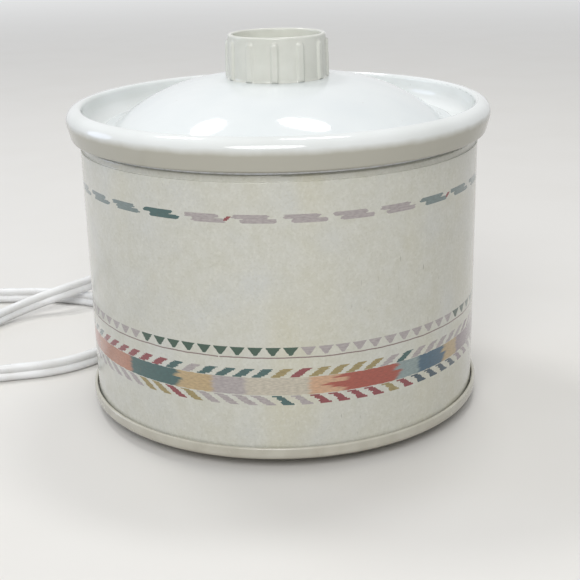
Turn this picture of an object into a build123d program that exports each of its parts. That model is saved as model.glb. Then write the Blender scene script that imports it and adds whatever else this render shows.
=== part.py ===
from build123d import *

import math
import os

# A small round slow cooker: a steel casing with a heated well, a lift-out glazed crock
# with an overhanging rim, a domed lid with a fluted knob, and a flat cord.
# All sizes are in millimetres. The origin is on the table, under the pot's axis.
# +Z is up, the front faces -Y, and the cord leaves through the rear wall, at +Y.

# How far a cut goes past the faces that it goes through
cut_margin = 1.0

# Feet
foot_height = 3.9
foot_radius = 7.0
foot_edge_rounding = 0.8
foot_stem_radius = 2.5
foot_hole_clearance = 0.1
foot_head_radius = 4.0
foot_head_thickness = 2.0
foot_inset = 17.5
foot_angles = {"front_left": 225, "front_right": 315, "rear_left": 135, "rear_right": 45}

# Base pan, which the casing stands in
pan_sheet = 0.8
pan_gap = 0.7
pan_wall_height = 3.9
pan_corner_rounding = 1.1
pan_boss_radius = 20.0
pan_boss_slope_width = 4.0
pan_boss_rise = 3.5
pan_slope_rounding = 1.0
pan_floor_rounding = 0.4
sheet_edge_rounding = 0.3
wiring_space = 26.2

# Casing
shell_radius = 66.0
shell_sheet = 0.6
shell_neck_height = 2.0
shell_neck_step = 0.6
shell_flange_width = 3.4
shell_hem_width = 3.0
shell_hem_rounding = 0.8
shell_hem_inner_rounding = 0.2
shell_shoulder_rounding = 0.15
shell_top_rounding = 0.5
seam_angle = 110
seam_width = 6.0
seam_thickness = 0.5
seam_end_gap = 0.7

# Heated well, which hangs from the casing's top flange
well_inset = 6.0
well_sheet = 0.6
well_depth = 60.7
well_corner_rounding = 6.0
well_lip_rounding = 0.6
well_flange_rounding = 0.2
well_flange_radius_gap = 0.8

# Heater band round the well, and the strap that clamps it
band_gap = 0.1
band_thickness = 1.6
band_lower_margin = 8.5
band_upper_margin = 12.2
band_opening = 20.0
strap_gap = 0.1
strap_sheet = 0.6
strap_width = 8.0
strap_ear_spacing = 6.0
strap_ear_inner_gap = 0.6
strap_ear_height = 4.4
strap_screw_radius = 1.0
strap_screw_head_radius = 1.9
strap_screw_head_length = 1.6
strap_nut_across_flats = 4.0
strap_nut_length = 1.6
strap_screw_end = 1.0
strap_window_height = 5.4
strap_window_gap = 0.4

# Centre stud, which ties the well, the casing and the pan together
stud_radius = 2.5
stud_base_radius = 6.0
stud_base_thickness = 1.0
stud_hole_clearance = 0.25
stud_washer_radius = 6.0
stud_washer_thickness = 0.8
stud_nut_across_flats = 8.0
stud_nut_height = 4.0
stud_end = 1.0
thread_clearance = 0.02

# Crock, a thick glazed pot whose rim overhangs the casing
crock_clearance = 1.4
crock_wall = 4.4
crock_wall_draft = 0.6
crock_bowl_draft = 2.1
crock_floor_thickness = 5.0
crock_corner_rounding = 5.5
crock_bowl_rounding = 10.0
crock_foot_outer_inset = 8.0
crock_foot_width = 6.0
crock_foot_depth = 1.5
crock_foot_slope = 0.8
crock_foot_rounding = 0.4
rim_gap = 0.7
rim_overhang = 4.0
rim_underside_inset = 1.41
rim_underside_rounding = 1.0
rim_height = 9.9
rim_crest_radius = 4.0
rim_side_draft = 14.7
rim_lip_rounding = 1.2
rim_wall_thickness = 5.2
rim_cove_radius = 5.4
ledge_rise = 1.1
mouth_rounding = 0.8

# Lid: a hollow dome with a flange that rests on the crock's ledge
lid_skirt_clearance = 0.7
lid_skirt_depth = 4.0
lid_skirt_thickness = 2.0
lid_flange_gap = 1.4
lid_flange_width = 3.6
lid_flange_thickness = 2.0
lid_flange_rounding = 0.8
lid_dome_height = 14.1
lid_dome_thickness = 2.2
lid_dome_foot_rounding = 1.2
lid_plateau_radius = 17.0
lid_pad_radius = 8.0
lid_pad_thickness = 1.0
lid_hole_clearance = 0.2

# Knob: an open cup with twelve ribs
knob_height = 14.2
knob_base_radius = 16.3
knob_top_radius = 16.0
knob_wall = 1.4
knob_floor_thickness = 2.8
knob_lip_rounding = 0.5
knob_floor_rounding = 1.5
knob_boss_radius = 4.5
knob_boss_height = 3.5
knob_boss_rounding = 0.5
knob_boss_foot_rounding = 0.8
knob_bore_depth = 5.3
knob_rib_count = 12
knob_rib_phase = -93
knob_rib_radius = 1.0
knob_rib_projection = 0.8
knob_rib_top_gap = 1.3
knob_screw_radius = 2.0
knob_screw_clearance = 0.02
knob_screw_head_radius = 4.0
knob_screw_head_height = 2.6
knob_screw_head_rounding = 1.2
knob_screw_slot_width = 1.0
knob_screw_slot_depth = 0.8
knob_screw_end_gap = 0.5
knob_washer_radius = 6.0
knob_washer_thickness = 1.0

# Thermal fuse under the well, its leads and the crimped joints
wire_radius = 0.9
supply_wire_radius = 1.1
supply_wire_offset = 1.6
crimp_radius = 2.5
crimp_length = 9.0
crimp_height = 20.0
fuse_radius = 2.0
fuse_length = 11.0
fuse_step_length = 2.0
fuse_step_radius = 1.5
fuse_centre_x = -20.5
fuse_y = 18.0
sleeve_thickness = 0.5
sleeve_overhang = 2.0
sleeve_gap = 0.1
sleeve_bore_gap = 0.05
clip_sheet = 0.6
clip_width = 6.0
clip_tab_length = 5.0
fuse_crimp_x = -8.0
fuse_crimp_top_y = 34.5
band_crimp_x = -34.0
band_crimp_top_y = 9.0
return_crimp_x = 15.5
return_crimp_y = 32.0
first_lead_angle = 40
first_lead_rise = 6.0
second_lead_angle = 195
second_lead_rise = 4.0
supply_straight_run = 7.0
short_straight_run = 5.0
long_straight_run = 8.0

# Strain relief in the rear wall
relief_height = 16.0
relief_hole_radius = 6.0
relief_neck_gap = 0.1
relief_head_radius = 7.0
relief_head_thickness = 3.0
relief_flange_radius = 8.0
relief_flange_thickness = 2.0
relief_taper_radius = 5.5
relief_tip_radius = 4.5
relief_length = 22.0
relief_groove_count = 4
relief_groove_pitch = 3.8
relief_groove_end_gap = 2.6
relief_groove_width = 1.0
relief_groove_depth = 0.6

# Flat two-core cord, standing on its edge, and its plug
cord_width = 6.4
cord_bend_share = 0.45
cord_route = [
    (0, 88, 16),
    (0, 102.5, 16),
    (-5.5, 118.5, 14.6),
    (-18, 131.5, 12.3),
    (-37, 138, 10.2),
    (-57.5, 133, 9.2),
    (-71, 116.5, 9.6),
    (-78.5, 98, 10.5),
    (-92, 85, 9.6),
    (-109, 80.3, 5),
    (-122.5, 63.5, 3.2),
    (-135, 43, 3.2),
    (-153, 25, 3.2),
    (-177.5, 16.5, 3.2),
    (-201.5, 25.5, 3.2),
    (-214.5, 48.5, 3.2),
    (-208, 74.5, 3.2),
    (-187, 90.5, 3.2),
    (-161, 97, 3.2),
    (-139, 98.5, 3.2),
    (-121, 99, 3.2),
    (-102.5, 98.3, 3.2),
    (-83, 91.5, 3.2),
    (-67, 79, 3.2),
    (-58.5, 60.5, 3.2),
    (-60.5, 41, 3.2),
    (-70.5, 24.5, 3.2),
    (-84, 13.5, 3.2),
    (-103, 9.3, 3.2),
    (-123, 5.5, 3.2),
    (-141, -1.5, 3.2),
    (-156.5, -13, 4.6),
    (-168.5, -27, 6),
    (-178, -42, 6),
]
plug_relief_radius = 3.6
plug_relief_length = 10.0
plug_relief_end_radius = 4.3
plug_thickness = 12.0
plug_shoulder_width = 13.0
plug_shoulder_thickness = 9.6
plug_width = 22.0
plug_shoulder_length = 8.0
plug_body_length = 20.0
plug_edge_rounding = 2.5
blade_spacing = 12.7
blade_width = 6.35
blade_thickness = 1.5
blade_length = 17.0
blade_hole_radius = 1.6
blade_hole_distance = 11.7

# Heights above the table that follow from the sizes above
pan_floor_top = foot_height + pan_sheet
pan_wall_top = foot_height + pan_wall_height
pan_boss_top = pan_floor_top + pan_boss_rise + pan_sheet
well_underside = pan_floor_top + wiring_space
well_floor_top = well_underside + well_sheet
shell_top = well_floor_top + well_depth
rim_underside = shell_top + well_sheet + rim_gap
rim_top = rim_underside + rim_height
ledge_height = rim_underside + ledge_rise
lid_flange_top = ledge_height + lid_flange_thickness
lid_plateau_height = lid_flange_top + lid_dome_height
knob_top = lid_plateau_height + knob_height
lid_pad_underside = lid_plateau_height - lid_dome_thickness - lid_pad_thickness

# Radii that follow from the sizes above
shell_inner_radius = shell_radius - shell_sheet
pan_radius = shell_radius + pan_gap + pan_sheet
well_radius = shell_radius - well_inset
well_inner_radius = well_radius - well_sheet
well_flange_radius = shell_radius - shell_neck_step - well_flange_radius_gap
band_inner_radius = well_radius + band_gap
band_outer_radius = band_inner_radius + band_thickness
strap_inner_radius = band_outer_radius + strap_gap
strap_outer_radius = strap_inner_radius + strap_sheet
lead_radius = well_radius + band_gap + wire_radius
crock_radius = well_inner_radius - crock_clearance
mouth_radius = crock_radius - crock_wall
rim_radius = shell_radius + rim_overhang
rim_inner_radius = rim_radius - rim_wall_thickness
ledge_outer_radius = rim_inner_radius - rim_cove_radius
lid_flange_radius = ledge_outer_radius - lid_flange_gap
lid_skirt_radius = mouth_radius - lid_skirt_clearance
dome_foot_radius = lid_flange_radius - lid_flange_width

# Places along the strap and the heater band
band_bottom = well_floor_top + band_lower_margin
band_top = shell_top - band_upper_margin
strap_height = (band_bottom + band_top) / 2
ear_radius = well_radius + strap_ear_inner_gap + strap_ear_height / 2
ear_face = strap_ear_spacing / 2 + strap_sheet


upright = (Align.CENTER, Align.CENTER, Align.MIN)


def turned(corners):
    """A solid turned about Z from (radius, height, rounding) corners."""
    points = [(radius, 0, height) for radius, height, rounding in corners]
    roundings = [rounding for radius, height, rounding in corners]
    outline = FilletPolyline(*points, radius=roundings, close=True)
    return revolve(make_face(outline), Axis.Z)


def disc(radius, low, high):
    """An upright cylinder on the Z axis between two heights."""
    return Pos(0, 0, low) * Cylinder(radius, high - low, align=upright)


def ring(inner, outer, low, high):
    """An upright tube on the Z axis between two heights."""
    return disc(outer, low, high) - disc(inner, low - cut_margin, high + cut_margin)


def rod(start, end, radius):
    """A round rod from one point to another."""
    start = Vector(*start)
    end = Vector(*end)
    section = Plane(origin=start, z_dir=end - start) * Circle(radius)
    return extrude(section, amount=(end - start).length, dir=(end - start).normalized())


def hexagon(across_flats, low, high):
    """An upright hexagonal prism on the Z axis."""
    outline = RegularPolygon(across_flats / 2, 6, major_radius=False)
    return Pos(0, 0, low) * extrude(outline, high - low)


def around(radius, angle):
    """The X and Y of a point on a circle, by its angle from +X in degrees."""
    return radius * math.cos(math.radians(angle)), radius * math.sin(math.radians(angle))


def ring_edge(solid, radius, height):
    """The circular edge of a turned solid nearest to a radius and a height."""
    circles = solid.edges().filter_by(GeomType.CIRCLE)
    return min(circles, key=lambda edge: math.hypot(edge.radius - radius, edge.arc_center.Z - height))


def bend_radii(points, share):
    """The largest gentle bend at each corner of a route, as a share of its shorter run."""
    radii = []
    for before, corner, after in zip(points, points[1:], points[2:]):
        run_in = Vector(*corner) - Vector(*before)
        run_out = Vector(*after) - Vector(*corner)
        half_turn = math.radians(run_in.get_angle(run_out) / 2)
        radii.append(share * min(run_in.length, run_out.length) / math.tan(half_turn))
    return radii


def tube(points, radius, share=cord_bend_share):
    """A round tube of straight runs and tangent arcs, and its length."""
    path = FilletPolyline(*points, radius=bend_radii(points, share))
    start = Vector(*points[0])
    section = Plane(origin=start, z_dir=Vector(*points[1]) - start) * Circle(radius)
    return sweep(section, path=path), path.length


def foot(angle):
    """A rubber foot: a disc under the pan, with a stem and a head that hold it there."""
    pad = disc(foot_radius, 0, foot_height)
    pad = fillet(ring_edge(pad, foot_radius, 0), foot_edge_rounding)
    stem = disc(foot_stem_radius, foot_height, pan_floor_top)
    head = disc(foot_head_radius, pan_floor_top, pan_floor_top + foot_head_thickness)
    x, y = around(pan_radius - foot_inset, angle)
    return Pos(x, y, 0) * (pad + stem + head)


def base_pan():
    """A shallow pressed pan, with a raised centre and holes for the stud and the feet."""
    slope_radius = pan_boss_radius + pan_boss_slope_width
    pan = turned([
        (0, pan_boss_top - pan_sheet, 0),
        (pan_boss_radius, pan_boss_top - pan_sheet, pan_slope_rounding),
        (slope_radius, foot_height, pan_slope_rounding),
        (pan_radius, foot_height, pan_corner_rounding),
        (pan_radius, pan_wall_top, sheet_edge_rounding),
        (pan_radius - pan_sheet, pan_wall_top, sheet_edge_rounding),
        (pan_radius - pan_sheet, pan_floor_top, pan_floor_rounding),
        (slope_radius, pan_floor_top, pan_slope_rounding),
        (pan_boss_radius, pan_boss_top, pan_slope_rounding),
        (0, pan_boss_top, 0),
    ])
    pan -= disc(stud_radius + stud_hole_clearance, 0, pan_boss_top + cut_margin)
    for angle in foot_angles.values():
        x, y = around(pan_radius - foot_inset, angle)
        pan -= Pos(x, y, 0) * disc(foot_stem_radius + foot_hole_clearance, 0, pan_boss_top)
    return pan


def outer_shell():
    """The printed casing: a thin drum with a stepped neck, a top flange and a bottom hem."""
    neck_radius = shell_radius - shell_neck_step
    neck_bottom = shell_top - shell_neck_height
    shell = turned([
        (shell_radius - shell_hem_width, pan_floor_top, 0),
        (shell_radius, pan_floor_top, shell_hem_rounding),
        (shell_radius, neck_bottom, shell_shoulder_rounding),
        (neck_radius, neck_bottom, shell_shoulder_rounding),
        (neck_radius, shell_top, shell_top_rounding),
        (shell_radius - shell_flange_width, shell_top, 0),
        (shell_radius - shell_flange_width, shell_top - shell_sheet, 0),
        (neck_radius - shell_sheet, shell_top - shell_sheet, 0),
        (neck_radius - shell_sheet, neck_bottom - shell_sheet, 0),
        (shell_inner_radius, neck_bottom - shell_sheet, 0),
        (shell_inner_radius, pan_floor_top + shell_sheet, shell_hem_inner_rounding),
        (shell_radius - shell_hem_width, pan_floor_top + shell_sheet, 0),
    ])
    seam_low = pan_wall_top + seam_end_gap
    seam_high = neck_bottom - seam_end_gap
    seam_outer = shell_radius + seam_thickness
    strip = ring(shell_inner_radius + shell_sheet / 2, seam_outer, seam_low, seam_high)
    window = Box(2 * seam_outer, seam_width, shell_top, align=(Align.MIN, Align.CENTER, Align.MIN))
    shell += strip & Rot(0, 0, seam_angle) * window
    hole_start = (0, shell_inner_radius / 2, relief_height)
    hole_end = (0, pan_radius, relief_height)
    return shell - rod(hole_start, hole_end, relief_hole_radius)


def heater_well():
    """The pot-shaped liner that the crock stands in, hung from the casing by its flange."""
    return turned([
        (0, well_underside, 0),
        (well_radius, well_underside, well_corner_rounding + well_sheet),
        (well_radius, shell_top, sheet_edge_rounding),
        (well_flange_radius, shell_top, 0),
        (well_flange_radius, shell_top + well_sheet, well_flange_rounding),
        (well_inner_radius, shell_top + well_sheet, well_lip_rounding),
        (well_inner_radius, well_floor_top, well_corner_rounding),
        (0, well_floor_top, 0),
    ])


def heater_band():
    """The flexible heater wrapped round the well, open at the rear."""
    band = ring(band_inner_radius, band_outer_radius, band_bottom, band_top)
    gap = Pos(0, band_outer_radius, strap_height) * Box(band_opening, band_outer_radius, band_top)
    return band - gap


def band_strap():
    """A thin strap round the heater band, with an ear at each end for the clamp screw."""
    low = strap_height - strap_width / 2
    high = strap_height + strap_width / 2
    strap = ring(strap_inner_radius, strap_outer_radius, low, high)
    gap = Box(strap_ear_spacing, strap_outer_radius, 2 * strap_width)
    strap -= Pos(0, strap_outer_radius, strap_height) * gap
    window_length = ear_face + strap_screw_head_length + strap_screw_end + strap_window_gap
    window = Box(2 * window_length, strap_outer_radius, strap_window_height)
    strap -= Pos(0, strap_outer_radius, strap_height) * window
    for side in (-1, 1):
        ear_x = side * (ear_face - strap_sheet / 2)
        strap += Pos(ear_x, ear_radius, strap_height) * Box(strap_sheet, strap_ear_height, strap_width)
    bore_start = (-ear_face - cut_margin, ear_radius, strap_height)
    bore_end = (ear_face + cut_margin, ear_radius, strap_height)
    return strap - rod(bore_start, bore_end, strap_screw_radius + thread_clearance)


def strap_fastener():
    """The small screw and nut that draw the strap's ears together."""
    nut_end = ear_face + strap_nut_length
    head_end = (-ear_face - strap_screw_head_length, ear_radius, strap_height)
    seat = (-ear_face, ear_radius, strap_height)
    shank_end = (nut_end + strap_screw_end, ear_radius, strap_height)
    screw = rod(head_end, seat, strap_screw_head_radius) + rod(seat, shank_end, strap_screw_radius)
    nut = hexagon(strap_nut_across_flats, ear_face, nut_end)
    nut -= disc(strap_screw_radius + thread_clearance, 0, nut_end + cut_margin)
    nut = Pos(0, ear_radius, strap_height) * (Rot(0, 90, 0) * nut)
    return Compound([screw, nut])


def well_stud():
    """A threaded stud under the middle of the well, with a wide base joined to it."""
    base = disc(stud_base_radius, well_underside - stud_base_thickness, well_underside)
    low = pan_boss_top - pan_sheet - stud_washer_thickness - stud_nut_height - stud_end
    return base + disc(stud_radius, low, well_underside)


def stud_washer():
    """The washer between the pan's raised centre and the nut."""
    high = pan_boss_top - pan_sheet
    low = high - stud_washer_thickness
    return ring(stud_radius + stud_hole_clearance, stud_washer_radius, low, high)


def stud_nut():
    """The nut under the pan that holds the whole casing together."""
    high = pan_boss_top - pan_sheet - stud_washer_thickness
    nut = hexagon(stud_nut_across_flats, high - stud_nut_height, high)
    return nut - disc(stud_radius + thread_clearance, 0, high + cut_margin)


def crock_outline():
    """The crock's section: foot ring, tapered wall, overhanging rim, lid ledge and bowl."""
    draft = math.radians(rim_side_draft)
    crest_radius_from_axis = rim_radius - rim_crest_radius
    crest_height = rim_top - rim_crest_radius
    side_top = (
        crest_radius_from_axis + rim_crest_radius * math.cos(draft),
        crest_height - rim_crest_radius * math.sin(draft),
    )
    underside_outer = rim_radius - rim_underside_inset
    base_radius = crock_radius - crock_wall_draft
    base_height = well_floor_top + crock_foot_depth
    foot_outer = base_radius - crock_foot_outer_inset
    foot_inner = foot_outer - crock_foot_width
    bowl_floor = base_height + crock_floor_thickness
    bowl_radius = mouth_radius - crock_bowl_draft
    middle = math.radians((90 - rim_side_draft) / 2)
    crest_middle = (
        crest_radius_from_axis + rim_crest_radius * math.cos(middle),
        crest_height + rim_crest_radius * math.sin(middle),
    )
    inner_edge = (rim_inner_radius, 0, rim_top - rim_lip_rounding)
    outside = FilletPolyline(
        (0, 0, base_height),
        (foot_inner - crock_foot_slope, 0, base_height),
        (foot_inner, 0, well_floor_top),
        (foot_outer, 0, well_floor_top),
        (foot_outer + crock_foot_slope, 0, base_height),
        (base_radius, 0, base_height),
        (crock_radius, 0, rim_underside),
        (underside_outer, 0, rim_underside),
        (side_top[0], 0, side_top[1]),
        radius=[crock_foot_rounding] * 4 + [crock_corner_rounding] + [rim_underside_rounding] * 2,
    )
    crest = ThreePointArc(
        (side_top[0], 0, side_top[1]),
        (crest_middle[0], 0, crest_middle[1]),
        (crest_radius_from_axis, 0, rim_top),
    )
    lip = TangentArc((crest_radius_from_axis, 0, rim_top), inner_edge, tangent=(-1, 0, 0))
    inside = FilletPolyline(
        inner_edge,
        (rim_inner_radius, 0, ledge_height),
        (mouth_radius, 0, ledge_height),
        (bowl_radius, 0, bowl_floor),
        (0, 0, bowl_floor),
        radius=[rim_cove_radius, mouth_rounding, crock_bowl_rounding],
    )
    axis_line = Line((0, 0, bowl_floor), (0, 0, base_height))
    return make_face([*outside.edges(), crest, lip, *inside.edges(), axis_line])


def crock():
    """The glazed stoneware pot that lifts out of the well."""
    return revolve(crock_outline(), Axis.Z)


def lid_dome():
    """The lid: a hollow dome, a flange that rests on the ledge and a skirt in the mouth."""
    reach = dome_foot_radius - lid_plateau_radius
    arc_radius = (reach**2 + lid_dome_height**2) / (2 * lid_dome_height)
    inner_arc_radius = arc_radius - lid_dome_thickness
    skirt_inner = lid_skirt_radius - lid_skirt_thickness
    skirt_reach = skirt_inner - lid_plateau_radius
    inner_foot = lid_plateau_height - arc_radius + math.sqrt(inner_arc_radius**2 - skirt_reach**2)
    inner_plateau = lid_plateau_height - lid_dome_thickness
    skirt_bottom = ledge_height - lid_skirt_depth
    outer_arc = TangentArc(
        (lid_plateau_radius, 0, lid_plateau_height),
        (dome_foot_radius, 0, lid_flange_top),
        tangent=(1, 0, 0),
    )
    edge = FilletPolyline(
        (dome_foot_radius, 0, lid_flange_top),
        (lid_flange_radius, 0, lid_flange_top),
        (lid_flange_radius, 0, ledge_height),
        (lid_skirt_radius, 0, ledge_height),
        (lid_skirt_radius, 0, skirt_bottom),
        (skirt_inner, 0, skirt_bottom),
        (skirt_inner, 0, inner_foot),
        radius=[lid_flange_rounding, lid_flange_rounding, 0, lid_flange_rounding, lid_flange_rounding],
    )
    inner_arc = TangentArc(
        (lid_plateau_radius, 0, inner_plateau),
        (skirt_inner, 0, inner_foot),
        tangent=(1, 0, 0),
    )
    middle = Polyline(
        (lid_plateau_radius, 0, inner_plateau),
        (lid_pad_radius, 0, inner_plateau),
        (lid_pad_radius, 0, lid_pad_underside),
        (0, 0, lid_pad_underside),
        (0, 0, lid_plateau_height),
        (lid_plateau_radius, 0, lid_plateau_height),
    )
    dome = revolve(make_face([outer_arc, *edge.edges(), inner_arc, *middle.edges()]), Axis.Z)
    dome = fillet(ring_edge(dome, dome_foot_radius, lid_flange_top), lid_dome_foot_rounding)
    return dome - disc(knob_screw_radius + lid_hole_clearance, lid_pad_underside - cut_margin, knob_top)


def knob_rib(angle):
    """One upright rounded rib on the knob's side, with a domed top."""
    inset = knob_rib_radius - knob_rib_projection
    low = (*around(knob_base_radius - inset, angle), lid_plateau_height)
    rib_top = knob_top - knob_rib_top_gap - knob_rib_radius
    high = (*around(knob_top_radius - inset, angle), rib_top)
    rib = rod(low, high, knob_rib_radius) + Pos(*high) * Sphere(knob_rib_radius)
    return rib & disc(knob_base_radius * 2, lid_plateau_height, knob_top)


def lid_knob():
    """The knob: an open, slightly tapered cup with ribs outside and a screw boss inside."""
    cup_floor = lid_plateau_height + knob_floor_thickness
    boss_top = cup_floor + knob_boss_height
    inner_top = knob_top_radius - knob_wall
    inner_bottom = knob_base_radius - knob_wall
    knob = turned([
        (0, lid_plateau_height, 0),
        (knob_base_radius, lid_plateau_height, 0),
        (knob_top_radius, knob_top, knob_lip_rounding),
        (inner_top, knob_top, knob_lip_rounding),
        (inner_bottom, cup_floor, knob_floor_rounding),
        (knob_boss_radius, cup_floor, knob_boss_foot_rounding),
        (knob_boss_radius, boss_top, knob_boss_rounding),
        (0, boss_top, 0),
    ])
    for number in range(knob_rib_count):
        knob += knob_rib(knob_rib_phase + number * 360 / knob_rib_count)
    bore_radius = knob_screw_radius + knob_screw_clearance
    bore_top = lid_plateau_height + knob_bore_depth
    return knob - disc(bore_radius, lid_plateau_height - cut_margin, bore_top)


def knob_washer():
    """The washer under the lid's centre pad."""
    low = lid_pad_underside - knob_washer_thickness
    return ring(knob_screw_radius + lid_hole_clearance, knob_washer_radius, low, lid_pad_underside)


def knob_screw():
    """The screw that goes up through the lid into the knob's boss."""
    seat = lid_pad_underside - knob_washer_thickness
    head_bottom = seat - knob_screw_head_height
    head = disc(knob_screw_head_radius, head_bottom, seat)
    head = fillet(ring_edge(head, knob_screw_head_radius, head_bottom), knob_screw_head_rounding)
    slot = Box(2 * knob_screw_head_radius, knob_screw_slot_width, 2 * knob_screw_slot_depth)
    shank_top = lid_plateau_height + knob_bore_depth - knob_screw_end_gap
    return head - Pos(0, 0, head_bottom) * slot + disc(knob_screw_radius, seat, shank_top)


def fuse_height():
    """The height of the thermal fuse's axis, just under the well."""
    return well_underside - sleeve_gap - sleeve_thickness - sleeve_bore_gap - fuse_radius


def thermal_fuse():
    """The thermal fuse: a small round can with a stepped end."""
    start = (fuse_centre_x - fuse_length / 2, fuse_y, fuse_height())
    step = (fuse_centre_x + fuse_length / 2 - fuse_step_length, fuse_y, fuse_height())
    end = (fuse_centre_x + fuse_length / 2, fuse_y, fuse_height())
    return rod(start, step, fuse_radius) + rod(step, end, fuse_step_radius)


def fuse_sleeve():
    """The woven sleeve over the thermal fuse."""
    reach = fuse_length / 2 + sleeve_overhang
    bore_radius = fuse_radius + sleeve_bore_gap
    start = (fuse_centre_x - reach, fuse_y, fuse_height())
    end = (fuse_centre_x + reach, fuse_y, fuse_height())
    return rod(start, end, bore_radius + sleeve_thickness) - rod(start, end, bore_radius)


def fuse_clip():
    """A saddle under the sleeve, with two tabs joined to the well's underside."""
    inner = fuse_radius + sleeve_bore_gap + sleeve_thickness + sleeve_gap
    outer = inner + clip_sheet
    rise = well_underside - fuse_height()
    saddle = Pos(0, rise / 2) * Rectangle(2 * outer, rise) + Circle(outer)
    hollow = Pos(0, outer / 2) * Rectangle(2 * inner, outer) + Circle(inner)
    tabs = Pos(0, rise - clip_sheet / 2) * Rectangle(2 * (outer + clip_tab_length), clip_sheet)
    below_well = Pos(0, rise - outer) * Rectangle(4 * (outer + clip_tab_length), 2 * outer)
    outline = (saddle + tabs - hollow) & below_well
    end = (fuse_centre_x - clip_width / 2, fuse_y, fuse_height())
    section = Plane(origin=end, x_dir=(0, 1, 0), z_dir=(1, 0, 0))
    return extrude(section * outline, clip_width)


def crimp_connectors():
    """Three crimped joints: supply to fuse, fuse to heater, and heater back to supply."""
    fuse_crimp = rod(
        (fuse_crimp_x, fuse_crimp_top_y, crimp_height),
        (fuse_crimp_x, fuse_crimp_top_y - crimp_length, crimp_height),
        crimp_radius,
    )
    band_crimp = rod(
        (band_crimp_x, band_crimp_top_y, crimp_height),
        (band_crimp_x, band_crimp_top_y - crimp_length, crimp_height),
        crimp_radius,
    )
    return_crimp = rod(
        (return_crimp_x, return_crimp_y, crimp_height),
        (return_crimp_x + crimp_length, return_crimp_y, crimp_height),
        crimp_radius,
    )
    return Compound([fuse_crimp, band_crimp, return_crimp])


def relief_inner_face():
    """How far to the rear the strain relief's inner face is."""
    return shell_inner_radius - relief_head_thickness


def supply_wires():
    """The cord's two cores, from the strain relief to their crimps."""
    start_y = relief_inner_face()
    fuse_side, _ = tube([
        (-supply_wire_offset, start_y, relief_height),
        (-supply_wire_offset, start_y - supply_straight_run, relief_height),
        (fuse_crimp_x, fuse_crimp_top_y + short_straight_run, crimp_height),
        (fuse_crimp_x, fuse_crimp_top_y, crimp_height),
    ], supply_wire_radius)
    return_side, _ = tube([
        (supply_wire_offset, start_y, relief_height),
        (supply_wire_offset, start_y - supply_straight_run, relief_height),
        (return_crimp_x - long_straight_run, return_crimp_y, crimp_height),
        (return_crimp_x, return_crimp_y, crimp_height),
    ], supply_wire_radius)
    return Compound([fuse_side, return_side])


def fuse_leads():
    """The thermal fuse's two leads, bent down to their crimps."""
    z = fuse_height()
    inner_end = fuse_centre_x + fuse_length / 2
    outer_end = fuse_centre_x - fuse_length / 2
    crimp_end_y = fuse_crimp_top_y - crimp_length
    to_supply, _ = tube([
        (inner_end, fuse_y, z),
        (fuse_crimp_x, fuse_y, z),
        (fuse_crimp_x, crimp_end_y - short_straight_run, crimp_height),
        (fuse_crimp_x, crimp_end_y, crimp_height),
    ], wire_radius)
    to_heater, _ = tube([
        (outer_end, fuse_y, z),
        (band_crimp_x, fuse_y, z),
        (band_crimp_x, band_crimp_top_y + short_straight_run, crimp_height),
        (band_crimp_x, band_crimp_top_y, crimp_height),
    ], wire_radius)
    return Compound([to_supply, to_heater])


def heater_leads():
    """The heater band's two leads, from its lower edge down to their crimps."""
    first_x, first_y = around(lead_radius, first_lead_angle)
    second_x, second_y = around(lead_radius, second_lead_angle)
    crimp_end_x = return_crimp_x + crimp_length
    crimp_end_y = band_crimp_top_y - crimp_length
    first, _ = tube([
        (crimp_end_x, return_crimp_y, crimp_height),
        (crimp_end_x + long_straight_run, return_crimp_y, crimp_height),
        (first_x, first_y, crimp_height + first_lead_rise),
        (first_x, first_y, band_bottom),
    ], wire_radius)
    second, _ = tube([
        (band_crimp_x, crimp_end_y, crimp_height),
        (band_crimp_x, crimp_end_y - long_straight_run, crimp_height),
        (second_x, second_y, crimp_height + second_lead_rise),
        (second_x, second_y, band_bottom),
    ], wire_radius)
    return Compound([first, second])


def relief_groove(outer_y):
    """One ring-shaped groove, which lets the strain relief bend."""
    start = (0, outer_y, relief_height)
    end = (0, outer_y - relief_groove_width, relief_height)
    inside = rod(start, end, relief_tip_radius - relief_groove_depth)
    return rod(start, end, relief_flange_radius) - inside


def strain_relief():
    """The moulded relief that snaps into the casing's rear hole and grips the cord."""
    outer_reach = shell_radius + relief_length
    inner_end = (0, relief_inner_face(), relief_height)
    flange_start = (0, shell_inner_radius - cut_margin, relief_height)
    flange_end = (0, shell_radius + relief_flange_thickness, relief_height)
    neck = rod(inner_end, flange_end, relief_hole_radius - relief_neck_gap)
    head = rod(inner_end, (0, shell_radius, relief_height), relief_head_radius)
    head &= disc(shell_inner_radius, 0, shell_top)
    flange = rod(flange_start, flange_end, relief_flange_radius)
    flange -= disc(shell_radius, 0, shell_top)
    taper_length = relief_length - relief_flange_thickness
    taper = Cone(relief_taper_radius, relief_tip_radius, taper_length, align=upright)
    taper = Pos(*flange_end) * (Rot(-90, 0, 0) * taper)
    for number in range(relief_groove_count):
        taper -= relief_groove(outer_reach - relief_groove_end_gap - number * relief_groove_pitch)
    return neck + head + flange + taper


def power_cord():
    """The cord's tube along its route, with its bends and its volume printed."""
    cord, length = tube(cord_route, cord_width / 2)
    expected = math.pi * (cord_width / 2) ** 2 * length
    print("cord bend radii", [round(radius, 1) for radius in bend_radii(cord_route, cord_bend_share)])
    print("cord length", round(length, 1), "volume share", round(cord.volume / expected, 4))
    return cord


def plug_place():
    """The plug's own frame: X along the plug, away from the cord, and Z up."""
    end = Vector(*cord_route[-1])
    heading = end - Vector(*cord_route[-2])
    return Plane(origin=end, x_dir=heading, z_dir=(0, 0, 1)).location


def plug_section(distance, width, thickness):
    """A rounded section square to the plug's length."""
    place = Plane(origin=(distance, 0, 0), x_dir=(0, 1, 0), z_dir=(1, 0, 0))
    return place * RectangleRounded(width, thickness, plug_edge_rounding)


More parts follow.
